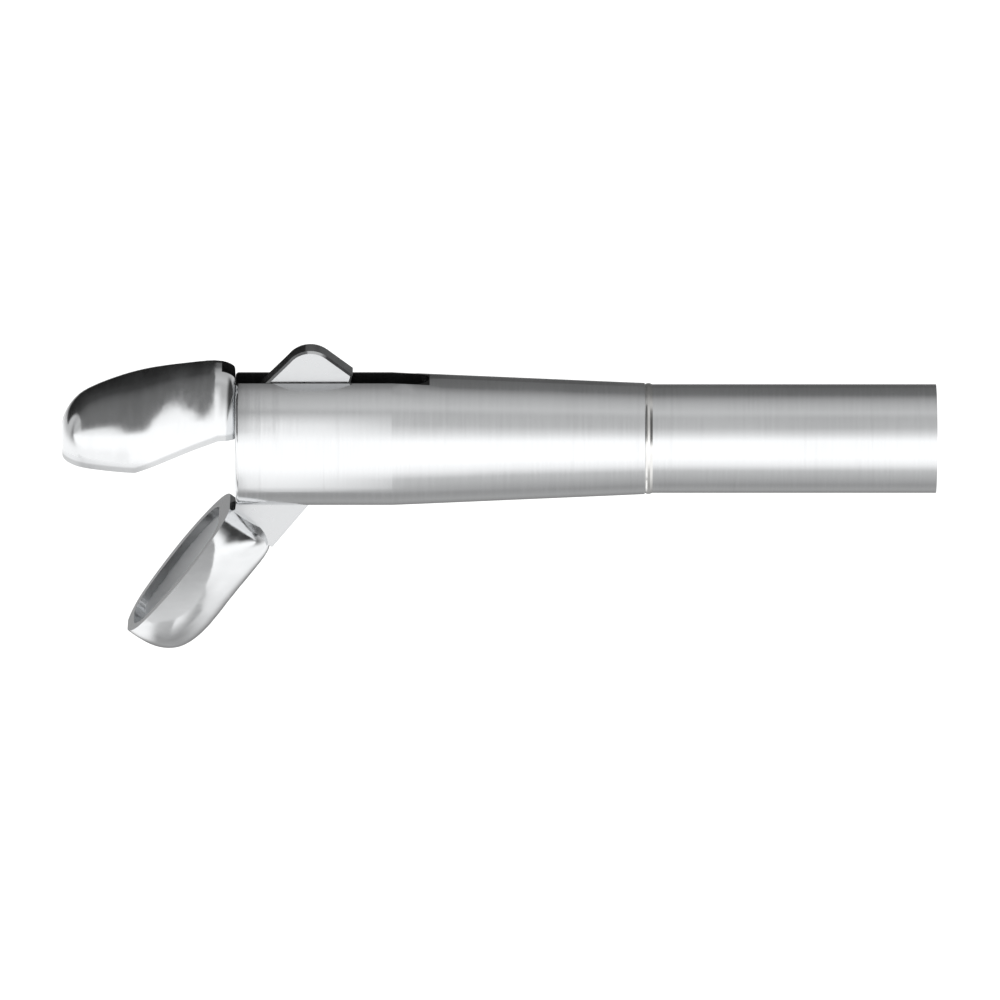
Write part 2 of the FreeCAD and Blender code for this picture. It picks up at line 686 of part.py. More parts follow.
# Drive fork: a hub on the rod and two cheeks that straddle the tang.
drive_fork = new_body("drive_fork")
turned(drive_fork, "hub", [
    (HUB, "(rod_rad - rod_rad)"),
    ("(%s + rod_seat)" % HUB, "(rod_rad - rod_rad)"),
    ("(%s + rod_seat)" % HUB, "rod_rad"),
    (HUB_END, "rod_rad"),
    (HUB_END, "(head_bore - fork_gap - hub_edge)"),
    ("(%s - hub_edge)" % HUB_END, "(head_bore - fork_gap)"),
    ("(%s + hub_edge)" % HUB, "(head_bore - fork_gap)"),
    (HUB, "(head_bore - fork_gap - hub_edge)"),
])
plate(
    drive_fork, "cheeks",
    lambda sketch: outline(sketch, [
        (DRIVE_X, "(drive_high - cheek_rad)"),
        ("(%s + rod_seat)" % HUB, "(drive_high - cheek_rad)"),
        ("(%s + rod_seat)" % HUB, "(drive_high + cheek_rad)"),
        (DRIVE_X, "(drive_high + cheek_rad)"),
    ]),
    "(slot_wid + 2 * cheek_thick)",
)
plate(
    drive_fork, "cheek_ends",
    lambda sketch: circle(sketch, DRIVE_X, "drive_high", "cheek_rad"),
    "(slot_wid + 2 * cheek_thick)",
)
milled(
    drive_fork, "fork_slot", "XY_Plane",
    lambda sketch: outline(sketch, [
        ("(%s - 2 * cheek_rad)" % DRIVE_X, "(0 - slot_wid / 2)"),
        (HUB, "(0 - slot_wid / 2)"),
        (HUB, "(slot_wid / 2)"),
        ("(%s - 2 * cheek_rad)" % DRIVE_X, "(slot_wid / 2)"),
    ]),
    WIDE,
)
milled(
    drive_fork, "drive_hole", "XZ_Plane",
    lambda sketch: circle(sketch, DRIVE_X, "drive_high", "drive_rad"),
    WIDE,
)
KEY_X = "((%s + rod_seat + %s) / 2)" % (HUB, HUB_END)
milled(
    drive_fork, "key_hole", "XZ_Plane",
    lambda sketch: circle(sketch, KEY_X, "(rod_rad - rod_rad)", "key_rad"),
    WIDE,
)

# Drive pin through the cheeks and the cam slot.
drive_pin = new_body("drive_pin")
plate(
    drive_pin, "pin",
    lambda sketch: circle(sketch, DRIVE_X, "drive_high", "drive_rad"),
    "(slot_wid + 2 * cheek_thick)",
)

# Drive rod, from the fork's hub to the cut end, and the pin that fixes it.
drive_rod = new_body("drive_rod")
turned(drive_rod, "rod", [
    ("(%s + rod_seat)" % HUB, "(rod_rad - rod_rad)"),
    ("(rod_rad - rod_rad)", "(rod_rad - rod_rad)"),
    ("(rod_rad - rod_rad)", "rod_rad"),
    ("(%s + rod_seat)" % HUB, "rod_rad"),
])
milled(
    drive_rod, "key_hole", "XZ_Plane",
    lambda sketch: circle(sketch, KEY_X, "(rod_rad - rod_rad)", "key_rad"),
    WIDE,
)
key_pin = new_body("rod_cross_pin")
plate(
    key_pin, "pin",
    lambda sketch: circle(sketch, KEY_X, "(rod_rad - rod_rad)", "key_rad"),
    "(2 * (head_bore - 2 * fork_gap))",
)

# Guide bushes that carry the rod on the shaft axis.
front_bush = new_body("front_guide_bush")
turned(front_bush, "bush", [
    ("(%s - guide_len)" % STEP, "(rod_rad + guide_gap)"),
    (STEP, "(rod_rad + guide_gap)"),
    (STEP, "head_bore"),
    ("(%s - guide_len)" % STEP, "head_bore"),
])
rear_bush = new_body("rear_guide_bush")
turned(rear_bush, "bush", [
    ("(0 - rear_in - rear_len)", "(rod_rad + guide_gap)"),
    ("(0 - rear_in)", "(rod_rad + guide_gap)"),
    ("(0 - rear_in)", "tube_bore"),
    ("(0 - rear_in - rear_len)", "tube_bore"),
])

PIECES = [
    shaft_tube, braze_ring, jaw_housing, fixed_jaw, pivot_pin, front_bush,
    rear_bush, moving_jaw, drive_fork, drive_pin, drive_rod, key_pin,
]

doc.recompute()
for thing in doc.Objects:
    if "Invalid" in thing.State or "Error" in thing.State:
        raise RuntimeError("%s is %s" % (thing.Name, thing.State))
for piece in PIECES:
    shape = piece.Shape
    if shape.isNull() or not shape.isValid() or len(shape.Solids) != 1:
        raise RuntimeError("%s is not one valid solid" % piece.Label)

os.makedirs("parts", exist_ok=True)
for piece in PIECES:
    piece.Shape.exportStep("parts/%s.step" % piece.Label)
    box = piece.Shape.BoundBox
    print("%-18s %9.3f mm3  X %7.2f %7.2f  Z %6.2f %6.2f" % (
        piece.Label, piece.Shape.Volume, box.XMin, box.XMax, box.ZMin, box.ZMax))
print("drive travel %.4f mm" % size(TRAVEL))
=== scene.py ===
import math

import bpy
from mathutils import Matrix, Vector

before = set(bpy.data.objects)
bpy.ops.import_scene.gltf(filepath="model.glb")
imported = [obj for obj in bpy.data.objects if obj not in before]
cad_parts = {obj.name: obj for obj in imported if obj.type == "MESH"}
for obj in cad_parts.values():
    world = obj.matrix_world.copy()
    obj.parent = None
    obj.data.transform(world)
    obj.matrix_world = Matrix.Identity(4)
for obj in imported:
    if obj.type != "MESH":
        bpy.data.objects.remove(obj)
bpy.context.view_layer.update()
bpy.ops.object.select_all(action="DESELECT")

MM = 0.001

# The photograph: 21.7 px to the millimetre in a frame of 1000 px, seen square
# to the shaft from 22 degrees above. A point's height in the picture is
# z cos(22) + y sin(22), measured from the shaft's axis.
FRAME_WIDTH = 1000 / 21.7 * MM
VIEW_LIFT = math.radians(22)
VIEW_CENTRE = Vector((-20.05, 0.0, -3.05)) * MM
LENS = 500.0
SENSOR = 36.0
# The nearest and farthest things seen, as shares of the camera's distance.
CLIP_NEAR = 0.01
CLIP_FAR = 100

# The white table, far enough below for the shadow to stay faint.
FLOOR_DROP = 60 * MM
FLOOR_SIZE = 3.0
FLOOR_WHITE = 0.9
FLOOR_GLOW = 0.2

# The soft lamp, in metres and watts.
LAMP_PLACE = (-0.12, -0.25, 0.5)
LAMP_SIZE = 0.5
LAMP_POWER = 1.2

# What polished steel mirrors, by the angle of the reflected ray round the
# shaft: 0 is towards the camera, 90 straight up, 180 away from the camera.
STUDIO_BANDS = [
    (-180, 0.16), (-150, 0.22), (-118, 0.42), (-95, 0.36), (-72, 0.50), (-52, 0.62),
    (-36, 1.10), (-20, 1.30), (16, 1.25), (31, 0.82), (44, 0.56), (66, 0.52),
    (78, 0.62), (98, 0.50), (112, 0.38), (128, 0.17), (180, 0.10),
]
# What lights dull surfaces, and what the camera sees behind the part.
PLAIN_SKY = 0.9
BACKDROP = 1.0

# The room past the ends of the shaft: white below, black above the right end
# on the camera's side, and grey on the far side. Each pair is where the soft
# edge starts and stops, as the ray's lean along the shaft, across it or up.
END_WHITE = 1.15
WHITE_RIGHT = (0.22, 0.72)
WHITE_LEFT = (-0.35, -0.15)
WHITE_BELOW = (-0.30, -0.05)
END_BLACK = 0.05
BLACK_RIGHT = (0.5, 0.72)
BLACK_ABOVE = (0.0, 0.2)
BLACK_NEAR = (0.0, 0.2)
END_GREY = 0.60
GREY_SIDEWAYS = (0.42, 0.68)
GREY_FAR = (0.0, 0.3)

# Cards curved round the shaft, seen only in polished steel: radius, left and
# right ends, and grey by the angle round the shaft. A dark flag hangs over the
# fixed jaw and droops in its middle, and a second one stands behind the slot.
CARD_SIDES = 96
JAW_FLAG = (30 * MM, -95 * MM, -32.7 * MM, [
    (14, 1.20), (27, 0.95), (33, 0.30), (40, 0.19), (62, 0.17), (84, 0.14), (98, 0.10),
    (110, 0.05), (140, 0.025), (180, 0.015)])
DROOP = math.radians(13)
DROOP_RISE = (-57 * MM, -47 * MM)
DROOP_FALL = (-37 * MM, -33.2 * MM)
SLOT_FLAG = (28 * MM, -32.7 * MM, -14 * MM, [(146, 0.14), (158, 0.015), (180, 0.01)])
SLOT_FLAG_FADE = ((-25 * MM, -21 * MM), [(-180, 0.10), (180, 0.10)])

# A white panel round the housing's front, which fades into the room's bands.
FRONT_PANEL = (34 * MM, -32.7 * MM, -19 * MM, [
    (-84, 0.43), (-77, 0.60), (-69, 1.05), (-30, 1.30), (16, 1.25), (44, 1.10), (56, 0.80),
    (66, 0.52)])
FRONT_PANEL_FADE = ((-31.5 * MM, -21 * MM), STUDIO_BANDS)

# A flat grey card in front of the moving cup, its grey at foot and top.
CUP_CARD_MIDDLE = Vector((-39.3, -4.2, -7.3)) * MM
CUP_CARD_HALF_WIDTH = 7.0 * MM
CUP_CARD_HALF_HEIGHT = 4.1 * MM
CUP_CARD_GREYS = (0.75, 0.42)

RISING = (0.0, 1.0)
FALLING = (1.0, 0.0)
NUMBER = "NodeSocketFloat"
VECTOR = "NodeSocketVector"

# How fine tool marks, hairlines and clouds of polish are, how much of the
# polish comes from marks and clouds, the polish at which the tone is the
# steel's own, and what a hairline does to the steel.
MARK_SCALE = 1.0
MARK_DETAIL = 3.0
MARK_SHARE = 0.45
MARK_DEPTH = 0.004 * MM
CLOUD_DETAIL = 4.0
CLOUD_SHARE = 0.55
POLISH_SPAN = (0.36, 0.64)
EVEN_POLISH = 0.5
HAIR_SCALE = 0.35
HAIR_DETAIL = 1.0
HAIR_SPAN = (0.62, 0.72)
HAIR_ROUGH = 0.03
HAIR_HEIGHT = -0.5
HAIR_TONE = -0.02

STEELS = {
    # colour, grain along x y z, smear, rough low and high, tone, bump
    "tube_steel": ((0.80, 0.81, 0.82), (9000, 420, 420), 240, 0.10, 0.20, 0.05, 0.10),
    "ring_braze": ((0.85, 0.845, 0.83), (9000, 420, 420), 300, 0.12, 0.24, 0.06, 0.10),
    "housing_steel": ((0.80, 0.81, 0.82), (8000, 380, 380), 200, 0.10, 0.21, 0.05, 0.10),
    "fixed_jaw_steel": ((0.79, 0.80, 0.81), (2600, 900, 900), 330, 0.09, 0.19, 0.06, 0.08),
    "moving_jaw_steel": ((0.79, 0.80, 0.81), (1300, 1300, 2600), 330, 0.10, 0.21, 0.06, 0.08),
    "pin_steel": ((0.79, 0.80, 0.81), (500, 9000, 500), 300, 0.12, 0.24, 0.06, 0.10),
    "rod_steel": ((0.72, 0.73, 0.74), (420, 7000, 7000), 300, 0.16, 0.30, 0.10, 0.20),
}
BUSH_TAN = (0.62, 0.55, 0.42)
BUSH_MARKS = {"Rough Low": 0.42, "Rough High": 0.6, "Tone Depth": 0.18}

# Soft edges of the masks. The slot's walls start a little above the axis.
SLOT_EDGE = (0.0, 0.03 * MM)
SLOT_FLOOR = 0.3 * MM
BORE_EDGE = (0.0, 0.06 * MM)
TANG_EDGE = (0.02 * MM, 0.06 * MM)
UPRIGHT = (0.9, 0.98)
INWARD = (0.02, 0.10)
SQUARE_TO_MOUTH = (0.995, 0.999)
HEEL_EDGE = (-0.1 * MM, 0.0)

# The fixed rim's relief, its ends along the shaft and their heights, and the land ground along
# it, whose tone is painted darker as painted shade.
RIM_ENDS = (-36.8 * MM, -33.0 * MM)
RIM_HEIGHTS = (-0.70 * MM, 0.75 * MM)
RIM_LAND = (0.204 * MM, 0.34 * MM)

# Each mask on a steel: its group and sizes, then its painted shade, how much darker the tone
# is painted under it, and how much rougher the steel is there.
OPENED = math.radians(52.2)
# Painted shade on the walls of the slot and the bore, nearly black.
WALL_PAINTED_SHADE = 0.06
WALL_ROUGH = 0.3
HOLLOW_ROUGH = 0.30
# Painted shade on the fixed rim's land, a little darker.
RIM_PAINTED_SHADE = 0.72
# Painted shade on the tang's ground flats, a little darker, then the roughness of their
# grinding.
FLAT_PAINTED_SHADE = 0.80
FLAT_ROUGH = 0.16
MASKS = {
    "tube_steel": [
        ("painted_shade_walls", {"Bore": 2.1 * MM}, WALL_PAINTED_SHADE, WALL_ROUGH),
    ],
    "housing_steel": [
        ("painted_shade_walls",
         {"Half Slot": 0.66 * MM, "Slot Front": -33.0 * MM, "Slot Back": -23.28 * MM,
          "Bore": 2.0 * MM},
         WALL_PAINTED_SHADE, WALL_ROUGH),
    ],
    "fixed_jaw_steel": [
        ("painted_shade_walls",
         {"Half Slot": 0.66 * MM, "Slot Front": -32.81 * MM, "Slot Back": -30.0 * MM},
         WALL_PAINTED_SHADE, WALL_ROUGH),
        ("cup_inside", {"Mouth": (0.0, 0.0, -1.0), "Heel": -33.2 * MM}, 1.0, HOLLOW_ROUGH),
        ("rim_land_painted_shade", {}, RIM_PAINTED_SHADE, 0.0),
    ],
    "moving_jaw_steel": [
        ("cup_inside",
         {"Mouth": (-math.sin(OPENED), 0.0, math.cos(OPENED)), "Heel": -32.6 * MM},
         1.0, HOLLOW_ROUGH),
        ("ground_flats_and_painted_shade", {"Half Tang": 0.55 * MM}, FLAT_PAINTED_SHADE, FLAT_ROUGH),
    ],
}

NODE_FINISH = {
    "shaft_tube": "tube_steel",
    "braze_ring": "ring_braze",
    "jaw_housing": "housing_steel",
    "fixed_jaw": "fixed_jaw_steel",
    "moving_jaw": "moving_jaw_steel",
    "pivot_pin": "pin_steel",
    "drive_pin": "pin_steel",
    "rod_cross_pin": "pin_steel",
    "drive_fork": "rod_steel",
    "drive_rod": "rod_steel",
    "front_guide_bush": "bush_plastic",
    "rear_guide_bush": "bush_plastic",
}


def grey(level):
    """Opaque colour of one grey level."""
    return (level, level, level, 1)


def feed(tree, value, socket):
    """Links an output to the socket, or sets the socket to a plain value."""
    if isinstance(value, bpy.types.NodeSocket):
        tree.links.new(value, socket)
    else:
        socket.default_value = value


def math_node(tree, operation, *values):
    """Math node fed by sockets or plain numbers, giving its output socket."""
    node = tree.nodes.new("ShaderNodeMath")
    node.operation = operation
    for value, socket in zip(values, node.inputs):
        feed(tree, value, socket)
    return node.outputs["Value"]


def product(tree, first, *others):
    """Product of two or more sockets."""
    for other in others:
        first = math_node(tree, "MULTIPLY", first, other)
    return first


def vector_node(tree, operation, *values):
    """Vector Math node fed by sockets or plain vectors, giving its outputs."""
    node = tree.nodes.new("ShaderNodeVectorMath")
    node.operation = operation
    for value, socket in zip(values, node.inputs):
        feed(tree, value, socket)
    return node.outputs


def split_xyz(tree, vector):
    """The x, y and z outputs of a vector."""
    split = tree.nodes.new("ShaderNodeSeparateXYZ")
    tree.links.new(vector, split.inputs["Vector"])
    return split.outputs["X"], split.outputs["Y"], split.outputs["Z"]


def map_span(tree, value, span, levels=RISING, kind="SMOOTHSTEP"):
    """Map Range node from a span of the value to two levels.

    It is soft at both ends, except where the kind says LINEAR.
    """
    node = tree.nodes.new("ShaderNodeMapRange")
    node.interpolation_type = kind
    tree.links.new(value, node.inputs["Value"])
    for label, number in zip(("From Min", "From Max", "To Min", "To Max"), span + levels):
        node.inputs[label].default_value = number
    return node.outputs["Result"]


def colour_mix(tree, factor, colour, other):
    """The colour, turned to the other one where the factor is 1."""
    mix = tree.nodes.new("ShaderNodeMix")
    mix.data_type = "RGBA"
    tree.links.new(factor, mix.inputs["Factor"])
    tree.links.new(colour, mix.inputs["A"])
    feed(tree, other, mix.inputs["B"])
    return mix.outputs["Result"]


def noise_value(tree, vector, scale, detail):
    """Noise texture whose scale is a socket or a plain number."""
    noise = tree.nodes.new("ShaderNodeTexNoise")
    tree.links.new(vector, noise.inputs["Vector"])
    feed(tree, scale, noise.inputs["Scale"])
    noise.inputs["Detail"].default_value = detail
    return noise.outputs["Fac"]


def band_ramp(tree, across, up, levels, shift=None):
    """Grey by the angle round the shaft of a direction or a place."""
    towards = math_node(tree, "MULTIPLY", across, -1.0)
    angle = math_node(tree, "ARCTAN2", up, towards)
    if shift is not None:
        angle = math_node(tree, "ADD", angle, shift)
    turn = math_node(tree, "MULTIPLY_ADD", angle, 0.5 / math.pi, 0.5)
    bands = tree.nodes.new("ShaderNodeValToRGB")
    tree.links.new(turn, bands.inputs["Fac"])
    stops = bands.color_ramp.elements
    for number, (degrees, level) in enumerate(levels):
        place = (degrees + 180) / 360
        stop = stops[number] if number < 2 else stops.new(place)
        stop.position = place
        stop.color = grey(level)
    return bands.outputs["Color"]


def surface_output(tree, kind, shader):
    """Output node of a material or a world."""
    output = tree.nodes.new(kind)
    tree.links.new(shader, output.inputs["Surface"])


def new_material(name):
    """Material with an empty node tree."""
    material = bpy.data.materials.new(name)
    material.use_nodes = True
    material.node_tree.nodes.clear()
    return material, material.node_tree


def photo_camera():
    """Long lens on the photograph's line of sight."""
    distance = FRAME_WIDTH * LENS / SENSOR
    away = Vector((0.0, -math.cos(VIEW_LIFT), math.sin(VIEW_LIFT)))
    bpy.ops.object.camera_add(location=VIEW_CENTRE + away * distance)
    camera = bpy.context.object
    camera.name = "photo_camera"
    camera.rotation_euler = (-away).to_track_quat("-Z", "Y").to_euler()
    camera.data.lens = LENS
    camera.data.sensor_width = SENSOR
    camera.data.clip_start = distance * CLIP_NEAR
    camera.data.clip_end = distance * CLIP_FAR
    bpy.context.scene.camera = camera


def studio_room():
    """White room whose panels are bands along the shaft, as steel sees them."""
    world = bpy.data.worlds.new("studio")
    world.use_nodes = True
    bpy.context.scene.world = world
    tree = world.node_tree
    tree.nodes.clear()
    coordinates = tree.nodes.new("ShaderNodeTexCoord")
    along, across, up = split_xyz(tree, coordinates.outputs["Generated"])
    ends = math_node(
        tree, "MAXIMUM", map_span(tree, along, WHITE_RIGHT),
        map_span(tree, along, WHITE_LEFT, FALLING))
    white_end = product(tree, ends, map_span(tree, up, WHITE_BELOW, FALLING))
    black_end = product(
        tree, map_span(tree, along, BLACK_RIGHT), map_span(tree, up, BLACK_ABOVE),
        map_span(tree, across, BLACK_NEAR, FALLING))
    sideways = math_node(tree, "ABSOLUTE", along)
    grey_end = product(
        tree, map_span(tree, sideways, GREY_SIDEWAYS), map_span(tree, across, GREY_FAR))
    path = tree.nodes.new("ShaderNodeLightPath")
    dull = math_node(tree, "SUBTRACT", 1.0, path.outputs["Is Glossy Ray"])
    room = band_ramp(tree, across, up, STUDIO_BANDS)
    for factor, level in (
            (grey_end, END_GREY), (white_end, END_WHITE), (black_end, END_BLACK),
            (dull, PLAIN_SKY), (path.outputs["Is Camera Ray"], BACKDROP)):
        room = colour_mix(tree, factor, room, grey(level))
    background = tree.nodes.new("ShaderNodeBackground")
    tree.links.new(room, background.inputs["Color"])
    surface_output(tree, "ShaderNodeOutputWorld", background.outputs["Background"])


def soft_lamp():
    """Wide lamp high on the camera's side, for dull surfaces and the shadow."""
    bpy.ops.object.light_add(type="AREA", location=LAMP_PLACE)
    lamp = bpy.context.object
    lamp.name = "soft_lamp"
    lamp.data.size = LAMP_SIZE
    lamp.data.energy = LAMP_POWER
    lamp.visible_glossy = False
    aim = VIEW_CENTRE - lamp.location
    lamp.rotation_euler = aim.to_track_quat("-Z", "Y").to_euler()


def glow_material(name):
    """Material that glows, with the place's x, y and z and its colour's socket."""
    material, tree = new_material(name)
    place = tree.nodes.new("ShaderNodeTexCoord")
    glow = tree.nodes.new("ShaderNodeEmission")
    surface_output(tree, "ShaderNodeOutputMaterial", glow.outputs["Emission"])
    return material, tree, split_xyz(tree, place.outputs["Object"]), glow.inputs["Color"]


def only_in_steel(card, material):
    """Gives a card its glow and hides it from all but mirrored rays."""
    card.data.materials.append(material)
    card.visible_camera = False
    card.visible_diffuse = False
    card.visible_shadow = False
    card.visible_transmission = False


def curved_card(name, shape, droops=False, fades_to=None):
    """Curved card round the shaft, cut from a long open cylinder."""
    radius, left, right, levels = shape
    bpy.ops.mesh.primitive_cylinder_add(
        vertices=CARD_SIDES, radius=radius, depth=right - left, end_fill_type="NOTHING",
        location=((left + right) / 2, 0, 0), rotation=(0, math.pi / 2, 0))
    card = bpy.context.object
    card.name = name
    bpy.ops.object.transform_apply(location=True, rotation=True, scale=True)
    bpy.ops.object.mode_set(mode="EDIT")
    bpy.ops.mesh.select_all(action="DESELECT")
    bpy.ops.object.mode_set(mode="OBJECT")
    for face in card.data.polygons:
        angle = math.degrees(math.atan2(face.center.z, -face.center.y))
        face.select = not levels[0][0] < angle < levels[-1][0]
    bpy.ops.object.mode_set(mode="EDIT")
    bpy.ops.mesh.delete(type="FACE")
    bpy.ops.object.mode_set(mode="OBJECT")
    material, tree, (along, across, up), colour = glow_material(name + "_glow")
    shift = None
    if droops:
        shift = product(
            tree, map_span(tree, along, DROOP_RISE),
            map_span(tree, along, DROOP_FALL, (DROOP, 0.0)))
    bands = band_ramp(tree, across, up, levels, shift)
    if fades_to:
        span, others = fades_to
        bands = colour_mix(
            tree, map_span(tree, along, span), bands, band_ramp(tree, across, up, others))
    tree.links.new(bands, colour)
    only_in_steel(card, material)


def cup_card():
    """Grey card low in front of the moving cup, lighter towards its foot."""
    # A plane 2 m across, so that the scale gives half its width and height.
    bpy.ops.mesh.primitive_plane_add(
        size=2, location=CUP_CARD_MIDDLE, rotation=(math.pi / 2, 0, 0))
    card = bpy.context.object
    card.name = "cup_card"
    card.scale = (CUP_CARD_HALF_WIDTH, CUP_CARD_HALF_HEIGHT, 1)
    bpy.ops.object.transform_apply(location=True, rotation=True, scale=True)
    material, tree, (_, _, up), colour = glow_material("cup_card_glow")
    foot = CUP_CARD_MIDDLE.z - CUP_CARD_HALF_HEIGHT
    top = CUP_CARD_MIDDLE.z + CUP_CARD_HALF_HEIGHT
    tree.links.new(map_span(tree, up, (foot, top), CUP_CARD_GREYS), colour)
    only_in_steel(card, material)


def pale_floor():
    """White table that lightens itself a little where it is seen."""
    bpy.ops.mesh.primitive_plane_add(
        size=FLOOR_SIZE, location=(VIEW_CENTRE.x, 0, -FLOOR_DROP))
    floor = bpy.context.object
    floor.name = "table"
    bpy.ops.object.transform_apply(location=True, rotation=True, scale=True)
    material, tree = new_material("table_white")
    paint = tree.nodes.new("ShaderNodeBsdfDiffuse")
    paint.inputs["Color"].default_value = grey(FLOOR_WHITE)
    path = tree.nodes.new("ShaderNodeLightPath")
    seen = math_node(
        tree, "MAXIMUM", path.outputs["Is Camera Ray"], path.outputs["Is Transmission Ray"])
    glow = tree.nodes.new("ShaderNodeEmission")
    tree.links.new(math_node(tree, "MULTIPLY", seen, FLOOR_GLOW), glow.inputs["Strength"])
    both = tree.nodes.new("ShaderNodeAddShader")
    tree.links.new(paint.outputs["BSDF"], both.inputs[0])
    tree.links.new(glow.outputs["Emission"], both.inputs[1])
    surface_output(tree, "ShaderNodeOutputMaterial", both.outputs["Shader"])
    floor.data.materials.append(material)
    floor.visible_glossy = False


def new_group(name, inputs, outputs):
    """Shader node group, with the sockets that enter it and that leave it."""
    group = bpy.data.node_groups.new(name, "ShaderNodeTree")
    for label, kind, value in inputs:
        socket = group.interface.new_socket(name=label, in_out="INPUT", socket_type=kind)
        if value is not None:
            socket.default_value = value
    for label in outputs:
        group.interface.new_socket(name=label, in_out="OUTPUT", socket_type=NUMBER)
    start, end = group.nodes.new("NodeGroupInput"), group.nodes.new("NodeGroupOutput")
    return group, start.outputs, end.inputs


def machining_marks():
    """Tool marks along one way and a polish that varies over the surface.

    Marks are fine across the Grain vector's strong direction. Smear is the
    cloudy hand polish. Hairlines are a few longer lines with the same lie.
    """
    tree, start, end = new_group(
        "machining_marks",
        [("Vector", VECTOR, None), ("Grain", VECTOR, (9000.0, 500.0, 500.0)),
         ("Smear Scale", NUMBER, 260.0), ("Rough Low", NUMBER, 0.08),
         ("Rough High", NUMBER, 0.2), ("Tone Depth", NUMBER, 0.06)],
        ["Roughness", "Height", "Tone"])
    stretched = vector_node(tree, "MULTIPLY", start["Vector"], start["Grain"])["Vector"]
    marks = noise_value(tree, stretched, MARK_SCALE, MARK_DETAIL)
    hairs = noise_value(tree, stretched, HAIR_SCALE, HAIR_DETAIL)
    hairline = map_span(tree, hairs, HAIR_SPAN)
    clouds = noise_value(tree, start["Vector"], start["Smear Scale"], CLOUD_DETAIL)
    polish = math_node(tree, "MULTIPLY", marks, MARK_SHARE)
    polish = math_node(tree, "MULTIPLY_ADD", clouds, CLOUD_SHARE, polish)
    polish = map_span(tree, polish, POLISH_SPAN)
    span = math_node(tree, "SUBTRACT", start["Rough High"], start["Rough Low"])
    rough = math_node(tree, "MULTIPLY_ADD", polish, span, start["Rough Low"])
    rough = math_node(tree, "MULTIPLY_ADD", hairline, HAIR_ROUGH, rough)
    tree.links.new(rough, end["Roughness"])
    height = math_node(tree, "MULTIPLY_ADD", hairline, HAIR_HEIGHT, marks)
    tree.links.new(height, end["Height"])
    tone = math_node(tree, "SUBTRACT", polish, EVEN_POLISH)
    tone = math_node(tree, "MULTIPLY_ADD", tone, start["Tone Depth"], 1.0)
    tone = math_node(tree, "MULTIPLY_ADD", hairline, HAIR_TONE, tone)
    tree.links.new(tone, end["Tone"])
    return tree


def painted_shade_walls():
    """Mask of the walls that light hardly reaches, the slot and the bore, whose tone is
    painted dark as painted shade.

    Between Slot Front and Slot Back, what is above the axis and nearer the
    middle plane than Half Slot is the slot's wall. What lies within Bore of
    the axis is inside.
    """
    tree, start, end = new_group(
        "painted_shade_walls",
        [("Vector", VECTOR, None), ("Half Slot", NUMBER, 0.0), ("Slot Front", NUMBER, 0.0),
         ("Slot Back", NUMBER, 0.0), ("Bore", NUMBER, 0.0)],
        ["Mask"])
    along, across, up = split_xyz(tree, start["Vector"])
    aside = math_node(tree, "ABSOLUTE", across)
    aside = math_node(tree, "SUBTRACT", aside, start["Half Slot"])
    slot = product(
        tree, map_span(tree, aside, SLOT_EDGE, FALLING),
        math_node(tree, "GREATER_THAN", up, SLOT_FLOOR),
        math_node(tree, "GREATER_THAN", along, start["Slot Front"]),
        math_node(tree, "LESS_THAN", along, start["Slot Back"]))
    flat = tree.nodes.new("ShaderNodeCombineXYZ")
    tree.links.new(across, flat.inputs["Y"])
    tree.links.new(up, flat.inputs["Z"])
    reach = vector_node(tree, "LENGTH", flat.outputs["Vector"])["Value"]
    reach = math_node(tree, "SUBTRACT", reach, start["Bore"])
    bore = map_span(tree, reach, BORE_EDGE, FALLING)
    tree.links.new(math_node(tree, "MAXIMUM", slot, bore), end["Mask"])
    return tree


def ground_flats_and_painted_shade():
    """Mask of the tang's ground sides, flat, upright and near the middle: rougher from the
    grinding, and painted darker as painted shade from the slot.
    """
    tree, start, end = new_group(
        "ground_flats_and_painted_shade",
        [("Vector", VECTOR, None), ("Normal", VECTOR, None), ("Half Tang", NUMBER, 0.0)],
        ["Mask"])
    aside = math_node(tree, "ABSOLUTE", split_xyz(tree, start["Vector"])[1])
    aside = math_node(tree, "SUBTRACT", aside, start["Half Tang"])
    facing = math_node(tree, "ABSOLUTE", split_xyz(tree, start["Normal"])[1])
    mask = product(
        tree, map_span(tree, aside, TANG_EDGE, FALLING), map_span(tree, facing, UPRIGHT))
    tree.links.new(mask, end["Mask"])
    return tree


def cup_inside():
    """Mask of a cup's hollow: what faces its mouth ahead of the heel's wall.

    Mouth is the way the open side faces. The rim itself, square to it, is
    left out.
    """
    tree, start, end = new_group(
        "cup_inside",
        [("Vector", VECTOR, None), ("Normal", VECTOR, None),
         ("Mouth", VECTOR, (0.0, 0.0, 1.0)), ("Heel", NUMBER, 0.0)],
        ["Mask"])
    facing = vector_node(tree, "DOT_PRODUCT", start["Normal"], start["Mouth"])["Value"]
    behind = math_node(
        tree, "SUBTRACT", split_xyz(tree, start["Vector"])[0], start["Heel"])
    mask = product(
        tree, map_span(tree, facing, INWARD), map_span(tree, facing, SQUARE_TO_MOUTH, FALLING),
        map_span(tree, behind, HEEL_EDGE, FALLING))
    tree.links.new(mask, end["Mask"])
    return tree


def rim_land_painted_shade():
    """Mask of the land ground along the fixed jaw's rim, relieved to the heel, whose tone is
    painted darker as painted shade.
    """
    tree, start, end = new_group("rim_land_painted_shade", [("Vector", VECTOR, None)], ["Mask"])
    along, _, up = split_xyz(tree, start["Vector"])
    rim = map_span(tree, along, RIM_ENDS, RIM_HEIGHTS, "LINEAR")
    above = math_node(tree, "SUBTRACT", up, rim)
    tree.links.new(map_span(tree, above, RIM_LAND, FALLING), end["Mask"])
    return tree


GROUPS = {group.name: group for group in (
    machining_marks(), painted_shade_walls(), ground_flats_and_painted_shade(), rim_land_painted_shade(), cup_inside())}


